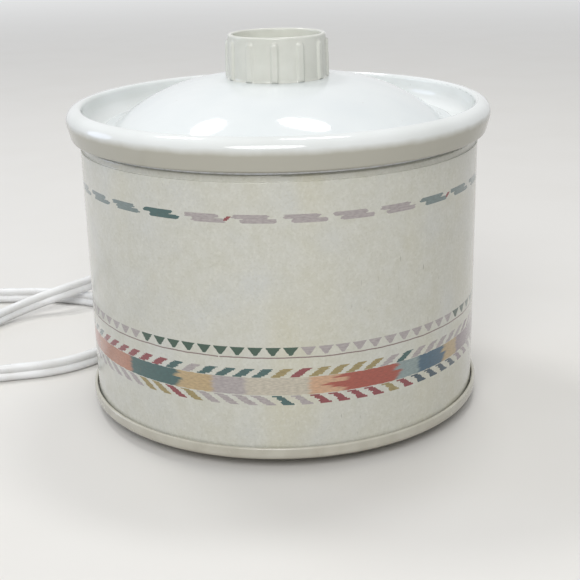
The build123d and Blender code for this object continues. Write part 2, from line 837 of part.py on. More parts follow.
def plug_body():
    """The moulded plug: a tapered relief, a shoulder and a flat body."""
    relief = Cone(plug_relief_radius, plug_relief_end_radius, plug_relief_length, align=upright)
    relief = Rot(0, 90, 0) * relief
    shoulder_end = plug_relief_length + plug_shoulder_length
    small = plug_section(plug_relief_length, plug_shoulder_width, plug_shoulder_thickness)
    large = plug_section(shoulder_end, plug_width, plug_thickness)
    body = relief + loft([small, large]) + extrude(large, plug_body_length)
    return body.moved(plug_place())


def plug_blades():
    """The two flat blades, each with its small hole."""
    face = plug_relief_length + plug_shoulder_length + plug_body_length
    blades = []
    for side in (-1, 1):
        middle = face + blade_length / 2
        y = side * blade_spacing / 2
        blade = Pos(middle, y, 0) * Box(blade_length, blade_thickness, blade_width)
        hole_start = (face + blade_hole_distance, y - blade_thickness, 0)
        hole_end = (face + blade_hole_distance, y + blade_thickness, 0)
        blade -= rod(hole_start, hole_end, blade_hole_radius)
        blades.append(blade.moved(plug_place()))
    return Compound(blades)


def write_parts():
    """Build every sub-part and write one file for each."""
    os.makedirs("parts", exist_ok=True)
    pieces = {
        "base_pan": base_pan(),
        "outer_shell": outer_shell(),
        "heater_well": heater_well(),
        "heater_band": heater_band(),
        "band_strap": band_strap(),
        "strap_fastener": strap_fastener(),
        "well_stud": well_stud(),
        "stud_washer": stud_washer(),
        "stud_nut": stud_nut(),
        "thermal_fuse": thermal_fuse(),
        "fuse_sleeve": fuse_sleeve(),
        "fuse_clip": fuse_clip(),
        "crimp_connectors": crimp_connectors(),
        "supply_wires": supply_wires(),
        "fuse_leads": fuse_leads(),
        "heater_leads": heater_leads(),
        "strain_relief": strain_relief(),
        "power_cord": power_cord(),
        "plug_body": plug_body(),
        "plug_blades": plug_blades(),
        "crock": crock(),
        "lid_dome": lid_dome(),
        "lid_knob": lid_knob(),
        "knob_washer": knob_washer(),
        "knob_screw": knob_screw(),
    }
    for place, angle in foot_angles.items():
        pieces["foot_" + place] = foot(angle)
    for name, shape in pieces.items():
        export_step(shape, "parts/" + name + ".step")


write_parts()
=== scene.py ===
import math

import bmesh
import bpy
from mathutils import Matrix, Vector


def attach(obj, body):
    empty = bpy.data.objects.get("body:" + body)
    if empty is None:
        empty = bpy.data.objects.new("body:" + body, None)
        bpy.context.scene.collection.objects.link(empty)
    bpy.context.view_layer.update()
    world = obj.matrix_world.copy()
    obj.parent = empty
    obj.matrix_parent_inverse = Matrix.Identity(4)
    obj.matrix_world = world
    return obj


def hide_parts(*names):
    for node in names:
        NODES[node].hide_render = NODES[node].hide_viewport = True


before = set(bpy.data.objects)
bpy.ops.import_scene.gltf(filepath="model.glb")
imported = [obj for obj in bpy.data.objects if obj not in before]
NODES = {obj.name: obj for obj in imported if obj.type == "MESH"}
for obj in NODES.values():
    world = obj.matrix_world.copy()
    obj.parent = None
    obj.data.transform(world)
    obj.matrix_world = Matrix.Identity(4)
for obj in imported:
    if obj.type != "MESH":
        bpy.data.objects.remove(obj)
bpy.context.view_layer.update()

# A small slow cooker: a printed steel casing on a painted pan, a glazed crock with an
# overhanging rim, a domed lid with a ribbed knob, and a flat white cord with its plug.
# Sizes are in millimetres, in the same frame as the frame's nodes, and become metres
# when a piece is finished.
MM = 0.001

# Camera: its place, and its turn, tilt and roll in radians
camera_place = (0, -379.9, 164.4)
camera_lens, camera_sensor = 70.7, 36
camera_turn, camera_down, camera_roll = -0.0067, 0.3262, -0.0225

# Casing
casing_radius = 66.0
way_round = 2 * math.pi * casing_radius

# Pan: the (radius, height, rounding) corners of its section
pan_section = [
    (2.75, 8.2, 0), (20, 8.2, 1), (24, 3.9, 1), (67.5, 3.9, 1.1), (67.5, 7.8, 0.55),
    (66.35, 7.8, 0.5), (66.35, 7, 0.2), (66.7, 6.7, 0.2), (66.7, 4.7, 0.4), (24, 4.7, 1),
    (20, 9, 1), (2.75, 9, 0),
]

# Knob: its foot, its outer wall from there to under its lip, the lip and the cup as corners
# of its section, and its ribs, which bulge from the part of the wall outside a least radius
knob_low, knob_high = 110.72, 124.88
knob_foot_radius, knob_foot_height = 16.75, 0.4
wall_radius, wall_narrowing, wall_rise, wall_steps = 16.34, 0.3, 13, 26
wall_least_radius = 15.95
knob_cup = [
    (16.02, knob_high, 0.62), (14.62, knob_high, 0.62), (14.7, 116, 0), (14.85, 113.5, 1.4),
    (4.6, 113.5, 0.8), (4.4, 117, 0.5), (0, 117, 0),
]
rib_pitch, rib_turn = 30, 93
rib_half_width, rib_slope, rib_projection, rib_top = 1.35, 0.5, 0.78, 121.9

# Flat two-core cord, which stands on its edge all along this route
core_radius = 1.6
core_opening, core_steps = 40, 14
cord_waist = 0.8
cord_steps_between = 14
cord_route = [
    (0, 88, 16),
    (0, 102.5, 16),
    (-5.5, 118.5, 14.6),
    (-18, 131.5, 12.3),
    (-37, 138, 10.2),
    (-57.5, 133, 9.2),
    (-71, 116.5, 9.6),
    (-78.5, 98, 10.5),
    (-92, 85, 9.6),
    (-109, 80.3, 5),
    (-122.5, 63.5, 3.2),
    (-135, 43, 3.2),
    (-153, 25, 3.2),
    (-177.5, 16.5, 3.2),
    (-201.5, 25.5, 3.2),
    (-214.5, 48.5, 3.2),
    (-208, 74.5, 3.2),
    (-187, 90.5, 3.2),
    (-161, 97, 3.2),
    (-139, 98.5, 3.2),
    (-121, 99, 3.2),
    (-102.5, 98.3, 3.2),
    (-83, 91.5, 3.2),
    (-67, 79, 3.2),
    (-58.5, 60.5, 3.2),
    (-60.5, 41, 3.2),
    (-70.5, 24.5, 3.2),
    (-84, 13.5, 3.2),
    (-103, 9.3, 3.2),
    (-123, 5.5, 3.2),
    (-141, -1.5, 3.2),
    (-156.5, -13, 4.6),
    (-168.5, -27, 6),
    (-178, -42, 6),
]

# Where the crock's rim turns over, from its middle; the painted shade on the rim's outer side fades
# in across these radii
rim_inside, rim_outside = 64.5, 67.5

# Backdrop, the weaker light that it gives to matt surfaces, and the floor, in metres, with
# the distances at which it begins and ends to fade into the backdrop
backdrop_colour, backdrop_strength = "#f4f5f6", 0.9
surrounding_strength = 0.48
floor_half_width, fade_near, fade_far = 6, 0.4, 2.4


# Camera

def place_camera():
    """The camera, low in front of the cooker, as the photograph was taken."""
    data = bpy.data.cameras.new("camera")
    data.lens = camera_lens
    data.sensor_width = camera_sensor
    camera = bpy.data.objects.new("camera", data)
    bpy.context.scene.collection.objects.link(camera)
    place = Matrix.Translation(Vector(camera_place) * MM)
    turn = Matrix.Rotation(camera_turn, 4, "Z")
    tilt = Matrix.Rotation(math.pi / 2 - camera_down, 4, "X")
    roll = Matrix.Rotation(camera_roll, 4, "Z")
    camera.matrix_world = place @ turn @ tilt @ roll
    bpy.context.scene.camera = camera


# Making pieces

def finish_piece(name, bm, body, material, node, sharp):
    """Turn a mesh in millimetres into a piece in metres, which rides on a body and stands
    for a node. Edges sharper than sharp, in degrees, are not shaded as smooth."""
    bmesh.ops.remove_doubles(bm, verts=bm.verts, dist=0.002)
    bmesh.ops.recalc_face_normals(bm, faces=bm.faces)
    bmesh.ops.scale(bm, vec=(MM, MM, MM), verts=bm.verts)
    mesh = bpy.data.meshes.new(name)
    bm.to_mesh(mesh)
    bm.free()
    mesh.shade_smooth()
    mesh.set_sharp_from_angle(angle=math.radians(sharp))
    mesh.materials.append(material)
    piece = bpy.data.objects.new(name, mesh)
    bpy.context.scene.collection.objects.link(piece)
    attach(piece, body)
    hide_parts(node)
    return piece


def cord_line():
    """The cord's middle line: a smooth curve with the route's points as its controls."""
    curve = bpy.data.curves.new("cord_line", "CURVE")
    curve.dimensions = "3D"
    spline = curve.splines.new("NURBS")
    spline.points.add(len(cord_route) - 1)
    for point, place in zip(spline.points, cord_route):
        point.co = (*(Vector(place) * MM), 1)
    spline.order_u = 3
    spline.use_endpoint_u = True
    spline.resolution_u = cord_steps_between
    holder = bpy.data.objects.new("cord_line", curve)
    line = bpy.data.meshes.new_from_object(holder)
    points = [vertex.co.copy() for vertex in line.vertices]
    bpy.data.objects.remove(holder)
    bpy.data.curves.remove(curve)
    bpy.data.meshes.remove(line)
    return points


def cord_section(bm):
    """The cord's outline: two round cores joined by a narrow waist, one above the other."""
    opening = math.radians(core_opening)
    start = (core_radius * math.cos(opening), core_radius * (1 - math.sin(opening)), 0)
    first = bm.verts.new(start)
    bmesh.ops.spin(
        bm, geom=[first], cent=(0, core_radius, 0), axis=(0, 0, 1),
        angle=math.pi + 2 * opening, steps=core_steps,
    )
    bmesh.ops.mirror(bm, geom=bm.verts[:] + bm.edges[:], axis="Y", merge_dist=-1)
    for side in (-1, 1):
        waist = bm.verts.new((side * cord_waist, 0, 0))
        for end in [v for v in bm.verts if len(v.link_edges) == 1 and v.co.x * side > 0]:
            bm.edges.new((waist, end))


def upright_frames(points):
    """A frame at each point of a line: its third axis lies along the line, its second is up."""
    frames = []
    for before, point, after in zip(points[:1] + points, points, points[1:] + points[-1:]):
        forward = (after - before).normalized()
        side = forward.cross(Vector((0, 0, 1))).normalized()
        turn = Matrix((side, side.cross(forward), -forward)).transposed()
        frames.append(Matrix.Translation(point) @ turn.to_4x4())
    return frames


def make_cord(material):
    """The flat cord: its outline drawn along the line without twisting."""
    line = cord_line()
    frames = upright_frames([point / MM for point in line])
    bm = bmesh.new()
    cord_section(bm)
    bmesh.ops.transform(bm, matrix=frames[0], verts=bm.verts)
    ring = bm.edges[:]
    for here, ahead in zip(frames, frames[1:]):
        grown = bmesh.ops.extrude_edge_only(bm, edges=ring)["geom"]
        ring = [part for part in grown if isinstance(part, bmesh.types.BMEdge)]
        corners = [part for part in grown if isinstance(part, bmesh.types.BMVert)]
        bmesh.ops.transform(bm, matrix=ahead @ here.inverted(), verts=corners)
    bmesh.ops.holes_fill(bm, edges=[edge for edge in bm.edges if edge.is_boundary], sides=0)
    cord = finish_piece("flat_cord", bm, "base", material, "power_cord", sharp=50)
    return cord


def spun(corners, steps):
    """A mesh turned about Z from (radius, height, rounding) corners of a closed outline."""
    bm = bmesh.new()
    points = [bm.verts.new((radius, 0, height)) for radius, height, rounding in corners]
    for here, ahead in zip(points, points[1:] + points[:1]):
        on_axis = here.co.x == ahead.co.x == 0
        if not on_axis:
            bm.edges.new((here, ahead))
    for point, (radius, height, rounding) in zip(points, corners):
        if rounding:
            bmesh.ops.bevel(
                bm, geom=[point], offset=rounding, offset_type="OFFSET", segments=6,
                profile=0.5, affect="VERTICES", material=-1,
            )
    bmesh.ops.spin(
        bm, geom=bm.verts[:] + bm.edges[:], cent=(0, 0, 0), axis=(0, 0, 1),
        angle=2 * math.pi, steps=steps, use_merge=True,
    )
    bmesh.ops.remove_doubles(bm, verts=bm.verts, dist=0.002)
    return bm


def make_pan(material):
    """The pressed pan, with a round bead along its lip."""
    bm = spun(pan_section, steps=144)
    return finish_piece("beaded_pan", bm, "base", material, "base_pan", sharp=50)


def make_knob(material):
    """The knob: an open cup with a round lip, and twelve low ribs with arched tops."""
    wall = []
    for step in range(wall_steps + 1):
        radius = wall_radius - wall_narrowing * step / wall_steps
        height = knob_low + knob_foot_height + wall_rise * step / wall_steps
        wall.append((radius, height, 0))
    foot = [(0, knob_low, 0), (knob_foot_radius, knob_low, 0)]
    bm = spun([*foot, *wall, *knob_cup], steps=360)
    for corner in bm.verts:
        reach = math.hypot(corner.co.x, corner.co.y)
        if reach < wall_least_radius or corner.co.z < knob_low + knob_foot_height / 2:
            continue
        turn = math.degrees(math.atan2(corner.co.y, corner.co.x)) + rib_turn
        turn = (turn + rib_pitch / 2) % rib_pitch - rib_pitch / 2
        aside = math.hypot(math.radians(turn) * reach, max(0, corner.co.z - rib_top))
        share = min(1, max(0, (rib_half_width - aside) / rib_slope))
        raised = 1 + rib_projection * share * share * (3 - 2 * share) / reach
        corner.co.x *= raised
        corner.co.y *= raised
    return finish_piece("ribbed_knob", bm, "lid", material, "lid_knob", sharp=60)


# Making materials

def linear(colour):
    """A colour written as sRGB hex, as the linear values that a shader takes."""
    values = [int(colour[place:place + 2], 16) / 255 for place in (1, 3, 5)]
    values = [v / 12.92 if v <= 0.04045 else ((v + 0.055) / 1.055) ** 2.4 for v in values]
    return (*values, 1.0)


def add(tree, kind, feeds=(), out=0, stops=None, **settings):
    """Add a node with its settings, its fixed values and its links, and give one output.

    feeds are values or other nodes' outputs, in the order of the sockets or by name.
    stops are a ramp's interpolation and its (place, shade) pairs. A shade is a hex colour,
    a grey level, or a list of a colour's values.
    """
    node = tree.nodes.new("ShaderNode" + kind)
    for name, value in settings.items():
        setattr(node, name, value)
    for socket, value in feeds.items() if isinstance(feeds, dict) else enumerate(feeds):
        if isinstance(value, bpy.types.NodeSocket):
            tree.links.new(value, node.inputs[socket])
        else:
            node.inputs[socket].default_value = linear(value) if isinstance(value, str) else value
    if stops:
        ramp = node.color_ramp
        ramp.interpolation = stops[0]
        while len(ramp.elements) < len(stops[1]):
            ramp.elements.new(1)
        for element, (place, shade) in zip(ramp.elements, stops[1]):
            element.position = place
            if isinstance(shade, str):
                shade = linear(shade)
            elif isinstance(shade, (int, float)):
                shade = (shade, shade, shade, 1)
            element.color = shade
    return node.outputs[out] if node.outputs else None


def new_material(name):
    """An empty node material."""
    material = bpy.data.materials.new(name)
    material.use_nodes = True
    material.node_tree.nodes.clear()
    return material, material.node_tree


def grain(tree, size, detail=2, stretch=(1, 1, 1)):
    """A soft noise with blobs of about a size in millimetres, stretched along the axes."""
    place = add(tree, "TexCoord", out="Object")
    place = add(tree, "Mapping", {"Vector": place, "Scale": [1 / s for s in stretch]})
    return add(tree, "TexNoise", {"Vector": place, "Scale": 1 / (size * MM), "Detail": detail})


def coated(tree, ground, coats):
    """A ground with coats over it, each a (colour, cover) pair."""
    for colour, cover in coats:
        feeds = {"Factor": cover, "A": ground, "B": colour}
        ground = add(tree, "Mix", feeds, out=2, data_type="RGBA")
    return ground


def patches(tree, low, high, first, last, size, detail=2, stretch=(1, 1, 1)):
    """Soft patches: a noise whose range low to high becomes first to last."""
    return add(tree, "MapRange", [grain(tree, size, detail, stretch), low, high, first, last])


def paint_nodes(material, *names):
    """Give a material to nodes of the frame that keep their shape."""
    for name in names:
        for slot in NODES[name].material_slots:
            slot.material = material


# Printed casing

def casing_place(tree):
    """How far round from the front a point is, and how high, both in millimetres."""
    place = add(tree, "TexCoord", out="Object")
    x = add(tree, "SeparateXYZ", [place], out=0)
    y = add(tree, "SeparateXYZ", [place], out=1)
    z = add(tree, "SeparateXYZ", [place], out=2)
    back = add(tree, "Math", [y, -1.0], operation="MULTIPLY")
    turn = add(tree, "Math", [x, back], operation="ARCTAN2")
    arc = add(tree, "Math", [turn, casing_radius], operation="MULTIPLY")
    height = add(tree, "Math", [z, 1 / MM], operation="MULTIPLY")
    return arc, height


def cell_stops(inks):
    """Ramp stops that give each cell its ink, from (how many cells, ink) pairs."""
    total = sum(count for count, ink in inks)
    stops = []
    done = 0
    for count, ink in inks:
        stops.append((done / total, linear(ink) if ink else (0, 0, 0, 0)))
        done += count
    return "CONSTANT", stops


def outline_stops(outline):
    """Ramp stops that give a motif's left and right edges at each height."""
    steps, edges = outline
    return steps, [(place, (left, right, 0, 1)) for place, left, right in edges]


def motif_row(tree, arc, height, low, tall, count, first, lean, outline, inks, rag):
    """One printed row of a repeated motif: its ink and its cover.

    low and tall are the row's lower edge and height. count motifs go round the casing, one
    of them centred at the arc first. lean is how far their tops are to the right of their
    feet. outline is a motif's left and right edges from foot to top, in shares of a pitch.
    inks repeat twice round, and a cell with no ink stays bare. rag is how far a thread's
    end strays.
    """
    pitch = way_round / count
    half_count = sum(number for number, ink in inks)
    rise = add(tree, "MapRange", [height, low, low + tall, 0.0, 1.0], clamp=False)
    start = lean / pitch / 2 - first / pitch + 0.5
    slide = add(tree, "Math", [rise, -lean / pitch, start], operation="MULTIPLY_ADD")
    place = add(tree, "Math", [arc, 1 / pitch, slide], operation="MULTIPLY_ADD")
    number = add(tree, "Math", [place], operation="FLOOR")
    thread = add(tree, "Math", [height, thread_height], operation="SNAP")
    spot = add(tree, "CombineXYZ", [number, thread])
    stray = add(tree, "TexWhiteNoise", {"Vector": spot}, noise_dimensions="2D")
    stray = add(tree, "Math", [stray, 2 * rag / pitch, -rag / pitch], operation="MULTIPLY_ADD")
    local = add(tree, "Math", [place, number], operation="SUBTRACT")
    local = add(tree, "Math", [local, stray], operation="ADD")
    edges = add(tree, "ValToRGB", [rise], stops=outline_stops(outline))
    left = add(tree, "SeparateColor", [edges], out=0)
    right = add(tree, "SeparateColor", [edges], out=1)
    cover = add(tree, "Math", [local, left], operation="GREATER_THAN")
    limits = [
        add(tree, "Math", [local, right], operation="LESS_THAN"),
        add(tree, "Math", [rise, 0.0], operation="GREATER_THAN"),
        add(tree, "Math", [rise, 1.0], operation="LESS_THAN"),
    ]
    middle = 0.5 + 0.5 / half_count
    cell = add(tree, "Math", [number, 1 / half_count, middle], operation="MULTIPLY_ADD")
    cell = add(tree, "Math", [cell], operation="FRACT")
    limits.append(add(tree, "ValToRGB", [cell], out="Alpha", stops=cell_stops(inks)))
    for limit in limits:
        cover = add(tree, "Math", [cover, limit], operation="MULTIPLY")
    return add(tree, "ValToRGB", [cell], stops=cell_stops(inks)), cover


# The height of a thread, which all the frayed ends follow, and how much finer than a
# millimetre the woven look of the inks is along and up the casing
thread_height = 0.42
thread_scale = (0.7, 2.4, 1)

# The printer's inks
green, teal, slate, blue = "#204838", "#305858", "#304858", "#305870"
sea_grey, pale_slate, stone, cream = "#708080", "#889898", "#a8a0a0", "#c0b8a8"
mauve, brick, rust = "#887880", "#883840", "#a04838"
salmon, peach, sand, ochre = "#b07860", "#c8a080", "#b8a078", "#988858"

# Each row's inks: (how many motifs, ink) pairs from the left side across the front to the
# right side. The back repeats them.
dash_inks = [(5, sea_grey), (1, teal), (5, stone), (3, sea_grey)]
tick_inks = [(6, None), (1, brick), (4, None), (1, brick), (2, None)]
triangle_inks = [(10, stone), (10, green), (11, stone), (8, green)]
upper_inks = [
    (6, sea_grey), (6, brick), (1, teal), (1, stone), (4, teal), (1, ochre), (1, brick), (4, ochre),
    (1, stone), (1, teal), (5, stone), (3, mauve), (2, sea_grey),
]
lower_left_inks = [(5, mauve), (5, stone), (2, ochre), (1, brick), (1, ochre), (4, stone), (18, None)]
lower_right_inks = [
    (18, None), (1, teal), (1, stone), (4, brick), (1, ochre), (1, brick), (4, slate), (6, mauve),
]

# The wide band: its lower edge and height, (arc where it starts, ink) pairs, and half the
# width of their soft borders
band_low, band_tall = 24.9, 5.6
band_inks = [
    (-103.7, sea_grey), (-92, rust), (-79, salmon), (-54.5, teal), (-35.5, sand), (-22.5, stone),
    (-12, cream), (7.5, peach), (20, rust), (35.5, pale_slate), (45.5, blue), (57, sand),
    (66.5, mauve), (95, sea_grey),
]
band_softness = 1.6

# How far the band's threads stray, and its fingers: how far they reach, (arc, share of the
# reach) pairs round the casing, and a group's outline, as (height, share) pairs
band_stray = 0.9
finger_reach = 18.0
finger_stops = [
    (-48, 0.5), (-42, 0.34), (-30, 0.34), (-26, 0.5), (4, 0.51), (9, 0.51), (10, 0.98), (26, 0.98),
    (29, 0.34), (41, 0.34), (43, 0.52), (50, 0.51), (53, 0.36), (62, 0.36), (64, 0.5),
]
finger_outline = [
    (0, 0.2), (0.14, 0.38), (0.26, 0.66), (0.36, 1.0), (0.5, 0.86), (0.57, 0.06), (0.7, 0.12),
    (0.76, 0.62), (0.86, 0.4), (0.93, 0.28),
]

# The thin line: its height, how far it wavers, half its width and where it breaks off
line_height, line_waver, line_half_width, line_break = 37.25, 0.7, 0.2, 0.68

# Outlines: (height, left edge, right edge) in shares of the motif's height and pitch
triangle_outline = ("LINEAR", [(0, 0.42, 0.58), (1, 0.06, 0.94)])
dash_outline = ("EASE", [(0, 0.17, 0.8), (0.3, 0.14, 0.86), (0.7, 0.14, 0.86), (1, 0.18, 0.82)])
tick_outline = ("CONSTANT", [(0, 0.44, 0.52), (0.3, 0.45, 0.55), (0.7, 0.47, 0.56)])
upper_outline = ("CONSTANT", [
    (0, 0.04, 0.54), (0.16, 0.12, 0.7), (0.36, 0.2, 0.76), (0.54, 0.26, 0.8), (0.7, 0.32, 0.9),
    (0.87, 0.42, 0.96),
])
lower_left_outline = ("CONSTANT", [
    (0, 0.44, 0.97), (0.14, 0.32, 0.92), (0.32, 0.26, 0.84), (0.54, 0.2, 0.76), (0.74, 0.12, 0.7),
    (0.88, 0.02, 0.58),
])
lower_right_outline = ("CONSTANT", [
    (0, 0.36, 1), (0.2, 0.34, 0.88), (0.36, 0.4, 0.8), (0.48, 0.3, 0.76), (0.6, 0.22, 0.72),
    (0.72, 0.26, 0.68), (0.84, 0.04, 0.56),
])

# Rows: lower edge, height, how many go round, the arc of one's middle, lean, outline, inks, rag
motif_rows = [
    (79.6, 1.25, 28, -8.9, 0.0, dash_outline, dash_inks, 0.45),
    (78.3, 1.3, 28, -6.6, 0.0, dash_outline, dash_inks, 0.45),
    (78.95, 1.35, 28, -0.9, 0.7, tick_outline, tick_inks, 0.1),
    (37.6, 2.6, 78, 1.9, 0.0, triangle_outline, triangle_inks, 0.12),
    (30.6, 2.8, 72, -0.9, 1.5, upper_outline, upper_inks, 0.32),
    (21.6, 3.1, 72, -0.8, -2.5, lower_left_outline, lower_left_inks, 0.24),
    (21.6, 3.1, 72, -0.8, -1.5, lower_right_outline, lower_right_inks, 0.16),
]


def printed_band(tree, arc, height):
    """The wide woven-looking band: its ink and its cover. Its colours meet in soft upright
    borders, and here and there in fingers."""
    low, high = band_low, band_low + band_tall
    thread = add(tree, "Math", [height, thread_height], operation="SNAP")
    rise = add(tree, "MapRange", [thread, low, high, 0.0, 1.0], clamp=False)
    share = add(tree, "Math", [arc, 2 / way_round, 0.5], operation="MULTIPLY_ADD")
    share = add(tree, "Math", [share], operation="FRACT")
    stops = [(2 * start / way_round + 0.5, reach) for start, reach in finger_stops]
    reach = add(tree, "ValToRGB", [share], stops=("LINEAR", stops))
    reach = add(tree, "Math", [reach, finger_reach, -finger_reach / 2], operation="MULTIPLY_ADD")
    finger = add(tree, "ValToRGB", [rise], stops=("CONSTANT", finger_outline))
    push = add(tree, "Math", [reach, finger, arc], operation="MULTIPLY_ADD")
    stray = add(tree, "TexWhiteNoise", {"W": thread}, noise_dimensions="1D")
    push = add(tree, "Math", [stray, band_stray, push], operation="MULTIPLY_ADD")
    middle = 0.5 - band_stray / way_round
    cell = add(tree, "Math", [push, 2 / way_round, middle], operation="MULTIPLY_ADD")
    cell = add(tree, "Math", [cell], operation="FRACT")
    stops = [(0, band_inks[0][1])]
    softness = band_softness / way_round
    for (before, old), (start, ink) in zip(band_inks, band_inks[1:]):
        border = 2 * start / way_round + 0.5
        stops += [(border - softness, old), (border + softness, ink)]
    ink = add(tree, "ValToRGB", [cell], stops=("LINEAR", stops))
    edge = add(tree, "CombineXYZ", [arc, thread])
    edge = add(tree, "TexNoise", {"Vector": edge, "Scale": 0.6, "Detail": 1})
    edge = add(tree, "Math", [edge, 0.5, height], operation="MULTIPLY_ADD")
    above = add(tree, "Math", [edge, low + 0.25], operation="GREATER_THAN")
    below = add(tree, "Math", [edge, high + 0.25], operation="LESS_THAN")
    return ink, add(tree, "Math", [above, below], operation="MULTIPLY")


def printed_line(tree, arc, height):
    """The thin line under the triangles, which wavers and breaks off: its ink and its cover."""
    drift = add(tree, "CombineXYZ", [arc, 0.0])
    drift = add(tree, "TexNoise", {"Vector": drift, "Scale": 0.12, "Detail": 2})
    off = add(tree, "Math", [drift, line_waver, -line_height], operation="MULTIPLY_ADD")
    off = add(tree, "Math", [height, off], operation="ADD")
    off = add(tree, "Math", [off], operation="ABSOLUTE")
    thin = add(tree, "Math", [off, line_half_width], operation="LESS_THAN")
    whole = add(tree, "Math", [drift, line_break], operation="LESS_THAN")
    return "#857370", add(tree, "Math", [thin, whole], operation="MULTIPLY")


def printed_steel():
    """Tinplate, stoved off-white, printed by litho and varnished: a smooth, even gloss over
    a faintly mottled ground, with inks that look woven and lie under the same varnish."""
    material, tree = new_material("litho_printed_tinplate")
    arc, height = casing_place(tree)
    ground = coated(tree, "#d0d0c7", [
        ("#c7c6b8", patches(tree, 0.35, 0.7, 0.0, 0.7, 4, 4)),
        ("#ced1d2", patches(tree, 0.5, 0.75, 0.0, 0.45, 16, 2)),
        ("#cec8aa", patches(tree, 0.5, 0.75, 0.0, 0.35, 20, 1, (1, 1, 3))),
        ("#bcbbac", patches(tree, 0.5, 0.8, 0.0, 0.55, 0.7, 2)),
        ("#dcdcd3", patches(tree, 0.5, 0.8, 0.0, 0.6, 1.1, 2)),
    ])
    rows = [motif_row(tree, arc, height, *row) for row in motif_rows]
    rows += [printed_band(tree, arc, height), printed_line(tree, arc, height)]
    weave = add(tree, "CombineXYZ", [arc, height])
    weave = add(tree, "Mapping", {"Vector": weave, "Scale": thread_scale})
    weave = add(tree, "TexNoise", {"Vector": weave, "Scale": 1.0, "Detail": 3})
    weave = add(tree, "MapRange", [weave, 0.3, 0.7, 0.82, 1.16])
    for ink, cover in rows:
        feeds = {"Factor": 1.0, "A": ink, "B": weave}
        ink = add(tree, "Mix", feeds, out=2, data_type="RGBA", blend_type="MULTIPLY")
        cover = add(tree, "Math", [cover, 0.95], operation="MULTIPLY")
        ground = coated(tree, ground, [(ink, cover)])
    scratches = patches(tree, 0.75, 0.79, 0.0, 0.6, 0.45, 1, (1, 1, 9))
    worn = patches(tree, 0.55, 0.65, 0.0, 1.0, 26, 1)
    scratches = add(tree, "Math", [scratches, worn], operation="MULTIPLY")
    ground = coated(tree, ground, [("#6f6a5d", scratches)])
    ripple = add(tree, "Bump", {"Strength": 0.05, "Distance": 0.0004, "Height": grain(tree, 14, 1)})
    shader = add(tree, "BsdfPrincipled", {
        "Base Color": ground, "Roughness": patches(tree, 0.3, 0.7, 0.18, 0.27, 3, 3),
        "IOR": 1.5, "Normal": ripple, "Coat Weight": 0.5, "Coat Roughness": 0.08,
    })
    add(tree, "OutputMaterial", [shader])
    return material


# Other finishes

def fired_glaze(name, colour, pooled, foot_height, painted_shade_low, painted_shade_high, shade):
    """Stoneware under a fired opaque glaze: a wet gloss with a slow waviness, painted shade as a
    darker, greyer coat on the rim's outer side, a few iron specks, and bare buff clay below
    the glaze line."""
    material, tree = new_material(name)
    place = add(tree, "TexCoord", out="Object")
    height = add(tree, "SeparateXYZ", [place], out=2)
    reach = add(tree, "VectorMath", [place, (1, 1, 0)], operation="MULTIPLY")
    reach = add(tree, "VectorMath", [reach], out="Value", operation="LENGTH")
    outside = add(tree, "MapRange", [reach, rim_inside * MM, rim_outside * MM, 0.0, 1.0])
    line = add(tree, "Math", [grain(tree, 6, 2), 0.0012, height], operation="MULTIPLY_ADD")
    clay = add(tree, "Math", [line, foot_height * MM], operation="LESS_THAN")
    surface = coated(tree, colour, [
        (pooled, patches(tree, 0.35, 0.7, 0.0, 1.0, 22, 2)),
        # Painted shade: the rim's outer side below the crest is coated darker and greyer.
        (shade, add(tree, "MapRange", [line, painted_shade_low * MM, painted_shade_high * MM, outside, 0.0])),
        ("#a2937e", patches(tree, 0.8, 0.84, 0.0, 0.3, 1.3, 1)),
        ("#cdbfa6", clay),
    ])
    wave = add(tree, "Bump", {"Strength": 0.12, "Distance": 0.0006, "Height": grain(tree, 16, 1)})
    peel = add(tree, "Bump", {
        "Strength": 0.05, "Distance": 0.0001, "Height": grain(tree, 1.4, 2), "Normal": wave,
    })
    shader = add(tree, "BsdfPrincipled", {
        "Base Color": surface, "Roughness": add(tree, "MapRange", [clay, 0.0, 1.0, 0.07, 0.85]),
        "IOR": 1.52, "Normal": peel,
    })
    add(tree, "OutputMaterial", [shader])
    return material


def moulded_plastic(name, colour, worn, smooth, rough):
    """Moulded or extruded plastic: a soft, slightly waxy sheen with a fine mould texture and
    a little grime that dulls it in patches. Its roughness goes from smooth to rough."""
    material, tree = new_material(name)
    surface = coated(tree, colour, [(worn, patches(tree, 0.35, 0.75, 0.0, 1.0, 7, 3))])
    skin = add(tree, "Bump", {"Strength": 0.1, "Distance": 0.00006, "Height": grain(tree, 0.35, 2)})
    shader = add(tree, "BsdfPrincipled", {
        "Base Color": surface, "Roughness": patches(tree, 0.3, 0.7, smooth, rough, 4, 3),
        "IOR": 1.49, "Normal": skin, "Subsurface Weight": 0.06,
        "Subsurface Radius": (0.002, 0.002, 0.002),
    })
    add(tree, "OutputMaterial", [shader])
    return material


def stoved_paint():
    """Stoved enamel paint on pressed steel: a hard gloss with a faint orange peel, and painted
    shade that darkens it towards the table."""
    material, tree = new_material("stoved_pan_paint")
    height = add(tree, "SeparateXYZ", [add(tree, "TexCoord", out="Object")], out=2)
    surface = coated(tree, "#c5c2b5", [
        ("#b9b5a7", patches(tree, 0.35, 0.7, 0.0, 1.0, 6, 3)),
        # Painted shade: the pan's lowest few millimetres darken towards the table.
        ("#9d9788", add(tree, "MapRange", [height, 3.8 * MM, 5.5 * MM, 0.6, 0.0])),
    ])
    peel = add(tree, "Bump", {"Strength": 0.05, "Distance": 0.00005, "Height": grain(tree, 0.7, 1)})
    shader = add(tree, "BsdfPrincipled", {
        "Base Color": surface, "Roughness": patches(tree, 0.3, 0.7, 0.18, 0.28, 3, 2),
        "IOR": 1.5, "Normal": peel, "Coat Weight": 0.4, "Coat Roughness": 0.08,
    })
    add(tree, "OutputMaterial", [shader])
    return material


